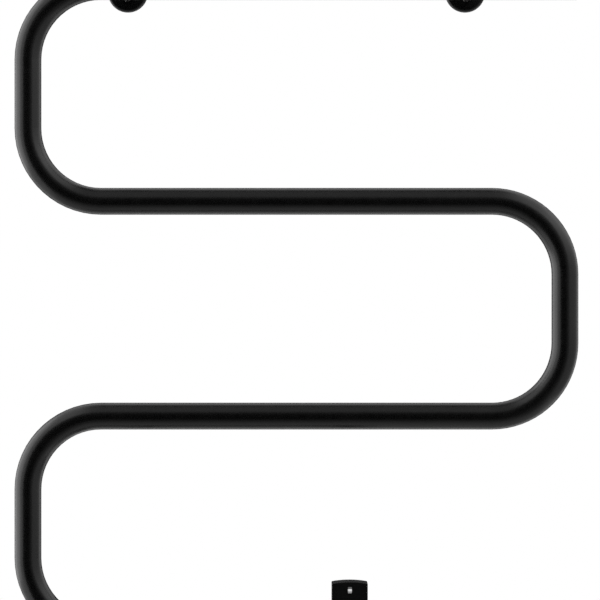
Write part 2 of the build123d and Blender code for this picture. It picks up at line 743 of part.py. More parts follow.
def board_screws():
    head = Circle(BOARD_SCREW_HEAD / 2)
    slot = Rectangle(BOARD_SCREW_HEAD, BOARD_SCREW_SLOT)
    screws = []
    for side in (-1, 1):
        place = (side * pillar_x, upper_pillar_z)
        head_rear = board_rear + BOARD_SCREW_HEAD_HEIGHT
        shank = Circle(BOARD_SCREW_DIAMETER / 2)
        screw = in_casing(head - slot, head_rear, head_rear - BOARD_SCREW_HEAD_HEIGHT / 2, *place)
        screw += in_casing(head, head_rear - BOARD_SCREW_HEAD_HEIGHT / 2, board_rear, *place)
        screws.append(screw + in_casing(shank, board_rear, board_rear - BOARD_SCREW_LENGTH, *place))
    return screws


def board_connector():
    """Terminals for four wires that come up into its underside."""
    width = CONNECTOR_PITCH * CONNECTOR_POLES + 2 * TERMINAL_END
    middle = Pos(CONNECTOR_OFFSET, board_bottom + CONNECTOR_HEIGHT / 2)
    rear = board_rear + CONNECTOR_DEPTH
    body = in_casing(middle * Rectangle(width, CONNECTOR_HEIGHT), rear, board_rear)
    wire_hole = Circle(WIRE_DIAMETER / 2 + FIT_GAP)
    base = bottom + board_bottom
    hole_end = base + WIRE_INSERTION + FIT_GAP
    for pole in connector_poles:
        body -= seen_from_above(wire_hole, base, hole_end, CASING_X + pole, axis_y)
        screw = Pos(pole, board_bottom + CONNECTOR_HEIGHT / 2) * Circle(CONNECTOR_SCREW / 2)
        body -= in_casing(screw, rear, rear - CONNECTOR_SCREW_SINK)
    return body


def power_relay():
    base = board_bottom + CONNECTOR_HEIGHT + COMPONENT_GAP
    outline = RectangleRounded(RELAY_WIDTH, RELAY_HEIGHT, COMPONENT_CORNER)
    return in_casing(outline, board_rear + RELAY_DEPTH, board_rear, 0, base + RELAY_HEIGHT / 2)


def filter_capacitor():
    base = board_bottom + CONNECTOR_HEIGHT + RELAY_HEIGHT + 2 * COMPONENT_GAP
    outline = RectangleRounded(CAPACITOR_WIDTH, CAPACITOR_HEIGHT, COMPONENT_CORNER)
    return in_casing(outline, board_rear + CAPACITOR_DEPTH, board_rear, 0, base + CAPACITOR_HEIGHT / 2)


def thermal_fuse():
    radius = FUSE_DIAMETER / 2
    x = CASING_X + radius - board_half_width
    base = bottom + board_bottom + COMPONENT_GAP
    fuse = seen_from_above(Circle(radius), base, base + FUSE_LENGTH, x, board_rear + radius)
    return chamfer(fuse.edges().filter_by(GeomType.CIRCLE), FUSE_CHAMFER)


def terminal_block():
    width = TERMINAL_PITCH * TERMINAL_COUNT + 2 * TERMINAL_END
    middle = Pos(0, terminal_top - TERMINAL_HEIGHT / 2)
    block = in_casing(middle * Rectangle(width, TERMINAL_HEIGHT), rear_inside, terminal_front)
    screw_floor = terminal_front + TERMINAL_SCREW_SINK + TERMINAL_SCREW_LENGTH
    top = bottom + terminal_top
    foot = top - TERMINAL_HEIGHT
    wire_hole = Circle(TERMINAL_HOLE / 2)
    for pole in terminal_poles:
        x = CASING_X + pole
        block -= seen_from_above(wire_hole, top - WIRE_INSERTION - FIT_GAP, top, x, terminal_y)
        block -= seen_from_above(wire_hole, foot, foot + WIRE_INSERTION + FIT_GAP, x, terminal_y)
        screw_hole = Pos(pole, 0) * middle * Circle(TERMINAL_SCREW / 2 + FIT_GAP)
        block -= in_casing(screw_hole, screw_floor, terminal_front)
    for pole in terminal_poles[1:]:
        notch = Pos(pole - TERMINAL_PITCH / 2, 0) * middle * Rectangle(TERMINAL_END, TERMINAL_HEIGHT)
        block -= in_casing(notch, screw_floor, terminal_front)
    return block


def terminal_screws():
    head = terminal_front + TERMINAL_SCREW_SINK
    slot = Rectangle(TERMINAL_SCREW, TERMINAL_SLOT_WIDTH)
    screws = []
    for pole in terminal_poles:
        place = (pole, terminal_top - TERMINAL_HEIGHT / 2)
        screw = in_casing(Circle(TERMINAL_SCREW / 2), head + TERMINAL_SCREW_LENGTH, head, *place)
        screws.append(screw - in_casing(slot, head + TERMINAL_SLOT_DEPTH, head, *place))
    return screws


def earth_tab():
    middle_x = tab_end - EARTH_TAB_LENGTH / 2
    base = bottom + tab_bottom
    tab = Rectangle(EARTH_TAB_LENGTH, EARTH_TAB_WIDTH)
    return seen_from_above(tab, base, base + EARTH_TAB_THICKNESS, middle_x, axis_y)


def earth_terminal():
    """A push-on sleeve over the tab, with the barrel that holds the earth lead."""
    middle_x = tab_end - EARTH_SLEEVE_LENGTH / 2
    base = bottom + tab_bottom
    gap = 2 * FIT_GAP
    outline = Rectangle(EARTH_SLEEVE_LENGTH, EARTH_TAB_WIDTH + gap + 2 * EARTH_SLEEVE_WALL)
    low = base - FIT_GAP - EARTH_SLEEVE_WALL
    high = base + EARTH_TAB_THICKNESS + FIT_GAP + EARTH_SLEEVE_WALL
    sleeve = seen_from_above(outline, low, high, middle_x, axis_y)
    barrel_radius = WIRE_DIAMETER / 2 + EARTH_BARREL_WALL
    barrel = [
        (tab_end, 0),
        (tab_end, barrel_radius),
        (tab_end + EARTH_BARREL_LENGTH, barrel_radius),
        (tab_end + EARTH_BARREL_LENGTH, 0),
    ]
    sleeve += turned_along_x(barrel, axis_y, base + EARTH_TAB_THICKNESS / 2)
    slot = Rectangle(EARTH_SLEEVE_LENGTH, EARTH_TAB_WIDTH + gap)
    slot_high = base + EARTH_TAB_THICKNESS + FIT_GAP
    sleeve -= seen_from_above(slot, base - FIT_GAP, slot_high, middle_x, axis_y)
    bore = [(x, radius if radius == 0 else WIRE_DIAMETER / 2 + FIT_GAP) for x, radius in barrel]
    return sleeve - turned_along_x(bore, axis_y, base + EARTH_TAB_THICKNESS / 2)


def earth_lead():
    pole_x = CASING_X + terminal_poles[-1]
    height = bottom + tab_bottom + EARTH_TAB_THICKNESS / 2
    points = [
        (tab_end + FIT_GAP, axis_y, height),
        (pole_x, axis_y, height),
        (pole_x, terminal_y, height - EARTH_BEND),
        (pole_x, terminal_y, bottom + terminal_top - WIRE_INSERTION),
    ]
    return swept(Circle(WIRE_DIAMETER / 2), points, [EARTH_BEND, EARTH_BEND])


def board_leads():
    """From the live and neutral terminals up to the board's connector."""
    connector_base = bottom + board_bottom
    leads = []
    for terminal, connector in zip(terminal_poles, connector_poles):
        if terminal == terminal_poles[-1]:
            break
        points = [
            (CASING_X + terminal, terminal_y, bottom + terminal_top - WIRE_INSERTION),
            (CASING_X + terminal, terminal_y, bottom),
            (CASING_X + connector, axis_y, connector_base - 2 * WIRE_BEND),
            (CASING_X + connector, axis_y, connector_base + WIRE_INSERTION),
        ]
        leads.append(swept(Circle(WIRE_DIAMETER / 2), points, [WIRE_BEND, WIRE_BEND]))
    return leads


def heater_leads():
    """The heating cable's two cores, side by side out of its end and up to the board's connector."""
    leads = []
    for pole, side in zip(connector_poles[-2:], (1, -1)):
        height = bottom + side * CORE_SPACING / 2
        points = [
            (tube_end + CABLE_TAIL, axis_y, height),
            (CASING_X + pole, axis_y, height),
            (CASING_X + pole, axis_y, bottom + board_bottom + WIRE_INSERTION),
        ]
        leads.append(swept(Circle(WIRE_DIAMETER / 2), points, [WIRE_BEND]))
    return leads


def all_pieces():
    pieces = {
        "rail_tube": rail_tube(),
        "end_cap": end_cap(),
        "end_cap_seal": end_cap_seal(),
        "heating_cable": heating_cable(),
        "cable_end_boot": cable_end_boot(),
        "tube_bush": tube_bush(),
        "grub_screws": grub_screws(),
        "cable_post": cable_post(),
        "cable_wall_mount": cable_wall_mount(),
        "cable_rosette": rosette(cable_post_place),
        "post_nut": post_nut(),
        "cable_grommet": cable_grommet(),
        "front_shell": front_shell(),
        "rear_shell": rear_shell(),
        "shell_seal": shell_seal(),
        "shell_screws": shell_screws(),
        "tube_seal": tube_seal(),
        "status_lens": status_lens(),
        "status_led": status_led(),
        "button_cap": button_cap(),
        "switch_plunger": switch_plunger(),
        "switch_body": switch_body(),
        "circuit_board": circuit_board(),
        "board_screws": board_screws(),
        "board_connector": board_connector(),
        "power_relay": power_relay(),
        "filter_capacitor": filter_capacitor(),
        "thermal_fuse": thermal_fuse(),
        "terminal_block": terminal_block(),
        "terminal_screws": terminal_screws(),
        "earth_tab": earth_tab(),
        "earth_terminal": earth_terminal(),
        "earth_lead": earth_lead(),
        "board_leads": board_leads(),
        "heater_leads": heater_leads(),
    }
    for name, place in post_places.items():
        pieces[f"post_stub_{name}"] = post_stub(place)
        pieces[f"wall_mount_{name}"] = wall_mount(place)
        pieces[f"rosette_{name}"] = rosette(place)
    return pieces


os.makedirs("parts", exist_ok=True)
for node, piece in all_pieces().items():
    shape = Compound(children=piece) if isinstance(piece, list) else piece
    export_step(shape, f"parts/{node}.step")
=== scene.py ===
import math
import bpy
from mathutils import Matrix, Vector

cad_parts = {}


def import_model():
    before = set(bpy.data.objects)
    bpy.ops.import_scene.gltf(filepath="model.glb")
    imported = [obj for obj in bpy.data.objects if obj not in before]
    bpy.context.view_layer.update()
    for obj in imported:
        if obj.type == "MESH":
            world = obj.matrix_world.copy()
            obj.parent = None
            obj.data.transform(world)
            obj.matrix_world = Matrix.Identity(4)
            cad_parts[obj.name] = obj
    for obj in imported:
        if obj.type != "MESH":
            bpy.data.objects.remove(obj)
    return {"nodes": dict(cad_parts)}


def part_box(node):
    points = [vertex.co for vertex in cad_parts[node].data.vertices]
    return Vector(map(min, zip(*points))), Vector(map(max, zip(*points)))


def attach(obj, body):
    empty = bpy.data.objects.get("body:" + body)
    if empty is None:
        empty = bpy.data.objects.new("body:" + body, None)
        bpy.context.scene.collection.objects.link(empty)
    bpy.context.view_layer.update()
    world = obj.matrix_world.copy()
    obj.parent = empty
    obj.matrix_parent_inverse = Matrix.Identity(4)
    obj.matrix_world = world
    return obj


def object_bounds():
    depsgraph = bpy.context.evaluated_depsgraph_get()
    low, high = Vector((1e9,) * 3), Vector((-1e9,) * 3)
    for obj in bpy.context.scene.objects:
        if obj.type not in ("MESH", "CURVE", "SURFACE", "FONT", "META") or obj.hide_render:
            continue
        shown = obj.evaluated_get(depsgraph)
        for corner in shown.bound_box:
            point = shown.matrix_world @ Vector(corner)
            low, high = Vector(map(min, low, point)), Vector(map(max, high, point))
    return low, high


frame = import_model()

# Electric heated towel rail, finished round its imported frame. Metres, Z up, the front faces -Y.

cad_low, cad_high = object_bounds()
NODES = frame["nodes"]

# Camera: level, square to the front, far enough back that the tube hardly tapers
CAMERA_DISTANCE = 4.0
CAMERA_X = 0.0033
CAMERA_Z = -0.2919
FRAME_WIDTH = 0.55866
SENSOR_WIDTH = 36.0
CAMERA_REACH = 50.0

# Depth of the tube's middle, off the wall
TUBE_Y = -0.080

# Black powder coat, and the darkest and palest shade in it
COAT_BLACK = (0.003, 0.003, 0.003)
COAT_SHADES = ((0.0016, 0.0016, 0.0017), (0.0026, 0.0026, 0.0026))

# How shades stray from a finish's colour: dust on rubber is paler, worn metal and plastic are duller
DUST_GAIN = 1.25
DUST_LIFT = 0.004
DULL_METAL = 0.82
DULL_PLASTIC = 0.88

# Earth wire: its two colours, and how far round the wire the green gives way to the yellow
EARTH_GREEN = (0.05, 0.30, 0.04)
EARTH_YELLOW = (0.80, 0.62, 0.03)
STRIPE_EDGE = (0.60, 0.64)

# How strongly the lamp lights the status window
LAMP_GLOW = 0.25

# The lamp's light painted into the window's colour and glow, at shares of its height: a dim foot, a
# bright band, painted shade at the brow
WINDOW_PAINTED_LIGHT_UP = ((0.10, 0.11), (0.34, 0.30), (0.47, 0.62), (0.575, 0.76), (0.635, 0.105))
# The same at shares of its width: an even middle between two rims of painted shade
WINDOW_PAINTED_SHADE_ACROSS = ((0.23, 0.2), (0.28, 1.0), (0.79, 1.0), (0.82, 0.4))

# Bead of weld round each post, sunk into the corner between post and tube
WELD_BEAD_RADIUS = 0.0012
WELD_BEAD_SIDES = 144
WELD_BEAD_ROUNDNESS = 4
WELD_RIPPLE = 0.0016

# Legs of the parts on the circuit board, soldered on its other side
LEG_RADIUS = 0.0003
LEG_STAND_OUT = 0.0010
SOLDER_RADIUS = 0.0008
SOLDER_HEIGHT = 0.0006
LEG_STEPS = 16
LAMP_LEG_PITCH = 0.00254
CONNECTOR_PITCH = 0.0045
CONNECTOR_POLES = 4

# Copper tracks on the board
TRACK_WIDTH = 0.0007
TRACK_HEIGHT = 0.00005

# Chip soldered flat on the board's front. Its legs run out sideways by shares of the gap under
# the body, and in towards the board by shares of the body's depth.
CHIP = (0.0050, 0.0014, 0.0039)
CHIP_LEGS = 4
CHIP_LEG_PITCH = 0.00095
CHIP_LEG_WIDTH = 0.0004
CHIP_LEG_FLATNESS = 0.45
CHIP_LEG_RUNS = ((1.1, 0.0), (1.4, 0.5), (2.2, 0.0))

# Resistors in two columns below the lamp, this many of their widths either side of its middle
RESISTOR_OFFSET = 1.4
RESISTOR_ROWS = 3
RESISTOR = (0.0016, 0.0005, 0.0008)
RESISTOR_END = 0.0003

# Ferrules on the wires, and the shares of their length between which they widen
WIRE_RADIUS = 0.0009
FERRULE_WALL = 0.0003
FERRULE_LENGTH = 0.0024
FERRULE_FLARE = (0.55, 0.7)
TERMINALS = 3
TERMINAL_PITCH = 0.0065

# Points nearer than this are one. Edges flatter than these angles are shaded smooth.
SAME_POINT = 0.000002
SMOOTH_ANGLE = 0.6
SOLDER_SMOOTH_ANGLE = 1.2

# Floor under the rail, and the shares of its radius between which it fades into the white
FLOOR_DROP = 0.16
FLOOR_RADIUS = 3.2
FLOOR_SIDES = 96
FLOOR_FADE = (0.2, 0.8)

# White round the rail: how bright it is where it is seen, and where it only lights the rail
WHITE_SEEN = 1.0
WHITE_CAST = 0.9


def deselect():
    for each in bpy.context.selected_objects:
        each.select_set(False)


def material(name, colour, roughness, metallic=0.0, specular=0.5):
    """A principled material with its constants on the shader's own sockets."""
    made = bpy.data.materials.new(name)
    made.use_nodes = True
    shader = made.node_tree.nodes["Principled BSDF"]
    shader.inputs["Base Color"].default_value = (*colour, 1.0)
    shader.inputs["Roughness"].default_value = roughness
    shader.inputs["Metallic"].default_value = metallic
    shader.inputs["Specular IOR Level"].default_value = specular
    made.diffuse_color = (*colour, 1.0)
    return made


def node(made, kind, **settings):
    fresh = made.node_tree.nodes.new(kind)
    for name, value in settings.items():
        setattr(fresh, name, value)
    return fresh


def link(made, output, target):
    made.node_tree.links.new(output, target)


def object_place(made):
    """Object coordinates, which stay with the piece."""
    nodes = made.node_tree.nodes
    found = nodes.get("Texture Coordinate") or nodes.new("ShaderNodeTexCoord")
    return found.outputs["Object"]


def cloud(made, size, detail=2.0, rough=0.5, stretch=None):
    """Noise with features of about this size in metres, stretched along an axis if asked."""
    noise = node(made, "ShaderNodeTexNoise")
    noise.inputs["Scale"].default_value = 1.0 / size
    noise.inputs["Detail"].default_value = detail
    noise.inputs["Roughness"].default_value = rough
    place = object_place(made)
    if stretch:
        mapping = node(made, "ShaderNodeMapping")
        mapping.inputs["Scale"].default_value = stretch
        link(made, place, mapping.inputs["Vector"])
        place = mapping.outputs["Vector"]
    link(made, place, noise.inputs["Vector"])
    return noise.outputs["Fac"]


def ramp(made, value, low, high, start=0.3, end=0.7):
    """Spread a 0 to 1 value between two colours or greys."""
    spread = node(made, "ShaderNodeValToRGB")
    low = low if isinstance(low, tuple) else (low, low, low)
    high = high if isinstance(high, tuple) else (high, high, high)
    spread.color_ramp.elements[0].position = start
    spread.color_ramp.elements[1].position = end
    spread.color_ramp.elements[0].color = (*low, 1.0)
    spread.color_ramp.elements[1].color = (*high, 1.0)
    link(made, value, spread.inputs["Fac"])
    return spread.outputs["Color"]


def relief(made, height, depth, under=None):
    """Bump of this depth in metres, laid over a bump made before it."""
    bump = node(made, "ShaderNodeBump")
    bump.inputs["Strength"].default_value = 1.0
    bump.inputs["Distance"].default_value = depth
    link(made, height, bump.inputs["Height"])
    if under:
        link(made, under, bump.inputs["Normal"])
    return bump.outputs["Normal"]


def finish(made, **inputs):
    """Connect sockets of the shader by their names, with underscores for spaces."""
    shader = made.node_tree.nodes["Principled BSDF"]
    for name, output in inputs.items():
        link(made, output, shader.inputs[name.replace("_", " ")])
    return made


def satin_powder_coat():
    """Black powder coat: a faint orange peel with fine grain in it."""
    made = material("satin_black_powder_coat", COAT_BLACK, 0.27)
    colour = ramp(made, cloud(made, 0.012, 3.0), *COAT_SHADES)
    rough = ramp(made, cloud(made, 0.005, 4.0, 0.6), 0.24, 0.30)
    peel = relief(made, cloud(made, 0.0021, 1.0, 0.4), 0.000018)
    grain = relief(made, cloud(made, 0.0004, 2.0), 0.000004, peel)
    return finish(made, Base_Color=colour, Roughness=rough, Normal=grain)


def coated_weld_bead():
    """The same coat over a weld, whose ripples still show through."""
    made = material("coated_weld", COAT_BLACK, 0.3)
    colour = ramp(made, cloud(made, 0.012, 3.0), *COAT_SHADES)
    rough = ramp(made, cloud(made, 0.004, 4.0, 0.6), 0.27, 0.34)
    ripples = relief(made, cloud(made, WELD_RIPPLE, 1.0, 0.4), 0.00012)
    return finish(made, Base_Color=colour, Roughness=rough, Normal=ripples)


def spark_textured_plastic():
    """Black casing plastic from a fine spark-eroded mould."""
    made = material("textured_black_plastic", (0.002, 0.002, 0.002), 0.42, specular=0.25)
    colour = ramp(made, cloud(made, 0.006, 3.0), (0.0010, 0.0010, 0.0011), (0.0018, 0.0018, 0.0018))
    rough = ramp(made, cloud(made, 0.0009, 3.0, 0.6), 0.38, 0.46)
    coarse = relief(made, cloud(made, 0.0007, 2.0), 0.000022)
    fine = relief(made, cloud(made, 0.00025, 3.0, 0.6), 0.000008, coarse)
    return finish(made, Base_Color=colour, Roughness=rough, Normal=fine)


def satin_button_plastic():
    made = material("satin_black_button", (0.006, 0.006, 0.006), 0.34)
    colour = ramp(made, cloud(made, 0.004, 2.0), (0.0055, 0.0055, 0.0057), (0.0070, 0.0070, 0.0072))
    rough = ramp(made, cloud(made, 0.0015, 3.0, 0.6), 0.30, 0.38)
    skin = relief(made, cloud(made, 0.0003, 2.0), 0.000003)
    return finish(made, Base_Color=colour, Roughness=rough, Normal=skin)


def lit_along(made, axis, low, high, stops):
    """Greys at these shares of the way from low to high along an axis."""
    parts = node(made, "ShaderNodeSeparateXYZ")
    link(made, object_place(made), parts.inputs["Vector"])
    share = node(made, "ShaderNodeMapRange")
    share.inputs["From Min"].default_value = low
    share.inputs["From Max"].default_value = high
    link(made, parts.outputs[axis], share.inputs["Value"])
    glow = node(made, "ShaderNodeValToRGB")
    shades = glow.color_ramp.elements
    shades.remove(shades[1])
    shades[0].position = stops[0][0]
    for position, grey in stops[1:]:
        shades.new(position)
    for shade, (position, grey) in zip(shades, stops):
        shade.color = (grey, grey, grey, 1.0)
    link(made, share.outputs["Result"], glow.inputs["Fac"])
    return glow.outputs["Color"]


def opal_window():
    """White opal plastic, its colour and glow painted with the lamp's light: brightest where the lamp
    sits behind it, dimmer below, with painted shade above and at its rim.
    """
    made = material("opal_window", (0.6, 0.6, 0.6), 0.28)
    low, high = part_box("status_lens")
    height = lit_along(made, "Z", low.z, high.z, WINDOW_PAINTED_LIGHT_UP)
    across = lit_along(made, "X", low.x, high.x, WINDOW_PAINTED_SHADE_ACROSS)
    both = node(made, "ShaderNodeMix", data_type="RGBA", blend_type="MULTIPLY")
    both.inputs["Factor"].default_value = 1.0
    link(made, height, both.inputs["A"])
    link(made, across, both.inputs["B"])
    made.node_tree.nodes["Principled BSDF"].inputs["Emission Strength"].default_value = LAMP_GLOW
    rough = ramp(made, cloud(made, 0.0008, 2.0), 0.22, 0.32)
    skin = relief(made, cloud(made, 0.0005, 2.0), 0.000003)
    # The window's colour, not only its glow, carries this painted light, with painted shade at its
    # brow and rims
    lit = both.outputs["Result"]
    return finish(made, Base_Color=lit, Emission_Color=lit, Roughness=rough, Normal=skin)


def silicone(name, colour, rough_low, rough_high, depth=0.000012):
    """Matt moulded rubber, a little dusty in patches."""
    made = material(name, colour, (rough_low + rough_high) / 2)
    pale = tuple(channel * DUST_GAIN + DUST_LIFT for channel in colour)
    shade = ramp(made, cloud(made, 0.003, 4.0, 0.6), colour, pale)
    rough = ramp(made, cloud(made, 0.0015, 3.0, 0.6), rough_low, rough_high)
    skin = relief(made, cloud(made, 0.0006, 3.0, 0.6), depth)
    return finish(made, Base_Color=shade, Roughness=rough, Normal=skin)


def plated_metal(name, colour, stretch, rough_low=0.22, rough_high=0.4, metallic=1.0):
    """Metal with fine tool marks along one direction."""
    made = material(name, colour, (rough_low + rough_high) / 2, metallic=metallic)
    dull = tuple(channel * DULL_METAL for channel in colour)
    marks = cloud(made, 0.0008, 3.0, 0.6, stretch)
    shade = ramp(made, cloud(made, 0.004, 4.0, 0.6), dull, colour)
    rough = ramp(made, marks, rough_low, rough_high)
    scratches = relief(made, marks, 0.000004)
    return finish(made, Base_Color=shade, Roughness=rough, Normal=scratches)


def moulded(name, colour, rough_low, rough_high, grain=0.0006, depth=0.000006):
    """Small moulded parts: an even colour with flow marks and a fine skin."""
    made = material(name, colour, (rough_low + rough_high) / 2)
    dull = tuple(channel * DULL_PLASTIC for channel in colour)
    shade = ramp(made, cloud(made, 0.003, 3.0, 0.6, (1.0, 1.0, 0.3)), dull, colour)
    rough = ramp(made, cloud(made, grain * 2, 3.0, 0.6), rough_low, rough_high)
    skin = relief(made, cloud(made, grain, 2.0), depth)
    return finish(made, Base_Color=shade, Roughness=rough, Normal=skin)


def striped_earth_wire():
    """Green insulation with a yellow stripe along the wire's front and back."""
    made = moulded("green_yellow_wire", EARTH_GREEN, 0.35, 0.48)
    parts = node(made, "ShaderNodeSeparateXYZ")
    place = made.node_tree.nodes["Texture Coordinate"]
    link(made, place.outputs["Normal"], parts.inputs["Vector"])
    across = node(made, "ShaderNodeMath", operation="ABSOLUTE")
    link(made, parts.outputs["Y"], across.inputs[0])
    colour = ramp(made, across.outputs["Value"], EARTH_GREEN, EARTH_YELLOW, *STRIPE_EDGE)
    return finish(made, Base_Color=colour)


def wear(finish_of, *names):
    """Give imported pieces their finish."""
    for name in names:
        for each in NODES[name].material_slots:
            each.material = finish_of


coat = satin_powder_coat()
coated_weld = coated_weld_bead()
casing = spark_textured_plastic()
button = satin_button_plastic()
window = opal_window()
rubber = silicone("black_silicone", (0.022, 0.022, 0.023), 0.55, 0.75)
sheath = silicone("red_silicone_sheath", (0.36, 0.05, 0.035), 0.42, 0.6, 0.000008)
zinc = plated_metal("dull_zinc_plate", (0.50, 0.51, 0.51), (1.0, 0.1, 1.0), 0.38, 0.55, 0.5)
steel = plated_metal("stainless_steel", (0.50, 0.49, 0.475), (0.15, 1.0, 1.0))
brass = plated_metal("bright_brass", (0.80, 0.58, 0.24), (1.0, 1.0, 0.15))
board = moulded("green_solder_mask", (0.014, 0.13, 0.045), 0.22, 0.34)
nylon = moulded("natural_nylon", (0.74, 0.71, 0.62), 0.38, 0.52)
black_part = moulded("black_component", (0.02, 0.02, 0.021), 0.3, 0.45)
blue_part = moulded("blue_component", (0.03, 0.11, 0.36), 0.25, 0.38)
brown_wire = moulded("brown_wire", (0.15, 0.055, 0.022), 0.35, 0.48)
green_wire = striped_earth_wire()
solder = plated_metal("bright_solder", (0.66, 0.66, 0.65), (1.0, 1.0, 1.0), 0.16, 0.3)
masked_copper = moulded("masked_copper", (0.03, 0.21, 0.07), 0.2, 0.3)
grey_ferrule = moulded("grey_ferrule", (0.24, 0.25, 0.26), 0.34, 0.46)

PLACES = ("upper_left", "upper_right", "lower_left")
wear(coat, "rail_tube", "end_cap", "cable_post", "cable_rosette")
for place in PLACES:
    wear(coat, f"post_stub_{place}", f"rosette_{place}")
    wear(zinc, f"wall_mount_{place}")
wear(zinc, "cable_wall_mount")
wear(steel, "grub_screws", "post_nut", "shell_screws", "board_screws", "earth_tab")
wear(casing, "front_shell", "rear_shell")
wear(button, "button_cap")
wear(window, "status_lens", "status_led")
wear(rubber, "end_cap_seal", "cable_end_boot", "tube_bush", "cable_grommet", "shell_seal", "tube_seal")
wear(sheath, "heating_cable")
wear(board, "circuit_board")
wear(nylon, "switch_plunger", "board_connector", "terminal_block")
wear(black_part, "switch_body", "thermal_fuse")
wear(blue_part, "power_relay", "filter_capacitor")
wear(brass, "terminal_screws", "earth_terminal")
wear(green_wire, "earth_lead")
wear(brown_wire, "board_leads", "heater_leads")


def spaced(count, pitch):
    """How far like things side by side stand from their middle."""
    return [pitch * (each - (count - 1) / 2) for each in range(count)]


def weld_bead(place):
    """The bead that joins a post to the tube: a ring laid on the tube's back, then thickened."""
    post_low, post_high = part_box(f"post_stub_{place}")
    middle = (post_low + post_high) / 2
    radius = (post_high.x - post_low.x) / 2
    deselect()
    bpy.ops.mesh.primitive_circle_add(
        vertices=WELD_BEAD_SIDES,
        radius=radius,
        location=(middle.x, post_high.y, middle.z),
        rotation=(math.pi / 2, 0, 0),
    )
    made = bpy.context.object
    made.name = f"weld_bead_{place}"
    bpy.ops.object.transform_apply(location=True, rotation=True, scale=True)
    laid = made.modifiers.new("laid_on_tube", "SHRINKWRAP")
    laid.wrap_method = "PROJECT"
    laid.use_project_y = True
    laid.use_negative_direction = True
    laid.use_positive_direction = False
    laid.target = NODES["rail_tube"]
    bpy.ops.object.modifier_apply(modifier=laid.name)
    bpy.ops.object.convert(target="CURVE")
    made.data.bevel_depth = WELD_BEAD_RADIUS
    made.data.bevel_resolution = WELD_BEAD_ROUNDNESS
    bpy.ops.object.convert(target="MESH")
    lumps = bpy.data.textures.new(made.name, "CLOUDS")
    lumps.noise_scale = WELD_RIPPLE
    uneven = made.modifiers.new("uneven", "DISPLACE")
    uneven.texture = lumps
    uneven.strength = WELD_BEAD_RADIUS / 2
    bpy.ops.object.modifier_apply(modifier=uneven.name)
    made.data.materials.clear()
    made.data.materials.append(coated_weld)
    bpy.ops.object.shade_smooth()
    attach(made, "rail")


def spun(name, profile, steps=24):
    """A turned piece about Z: its profile of radius and height points is extruded, then spun."""
    deselect()
    (radius, height), *rest = profile
    bpy.ops.mesh.primitive_plane_add(size=WIRE_RADIUS, location=(radius, 0, height))
    made = bpy.context.object
    made.name = name
    bpy.ops.object.mode_set(mode="EDIT")
    bpy.ops.mesh.select_all(action="SELECT")
    bpy.ops.mesh.merge(type="CENTER")
    for next_radius, next_height in rest:
        step = (next_radius - radius, 0, next_height - height)
        bpy.ops.mesh.extrude_region_move(TRANSFORM_OT_translate={"value": step})
        radius, height = next_radius, next_height
    bpy.ops.mesh.select_all(action="SELECT")
    bpy.ops.mesh.spin(steps=steps, angle=2 * math.pi, center=(0, 0, 0), axis=(0, 0, 1))
    bpy.ops.mesh.select_all(action="SELECT")
    bpy.ops.mesh.remove_doubles(threshold=SAME_POINT)
    bpy.ops.mesh.normals_make_consistent(inside=False)
    bpy.ops.object.mode_set(mode="OBJECT")
    bpy.ops.object.transform_apply(location=True, rotation=True, scale=True)
    return made


def pick(*made):
    deselect()
    for each in made:
        each.select_set(True)
    bpy.context.view_layer.objects.active = made[0]


def coat_with(made, finish_of, angle=SMOOTH_ANGLE):
    made.data.materials.clear()
    made.data.materials.append(finish_of)
    pick(made)
    bpy.ops.object.shade_smooth_by_angle(angle=angle)


def set_down(made, places, turn=0.0, axis="X"):
    """Copies of a piece, each with its own mesh, turned about an axis and moved to its place."""
    copies = []
    for place in places:
        copy = made.copy()
        copy.data = made.data.copy()
        bpy.context.scene.collection.objects.link(copy)
        copy.data.transform(Matrix.Translation(place) @ Matrix.Rotation(turn, 4, axis))
        copies.append(copy)
    return copies


def gather(name, pieces):
    """Join pieces into one that moves with the rail."""
    pick(*pieces)
    bpy.ops.object.join()
    pieces[0].name = name
    pieces[0].data.name = name
    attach(pieces[0], "rail")


def scrap(made):
    bpy.data.objects.remove(made)


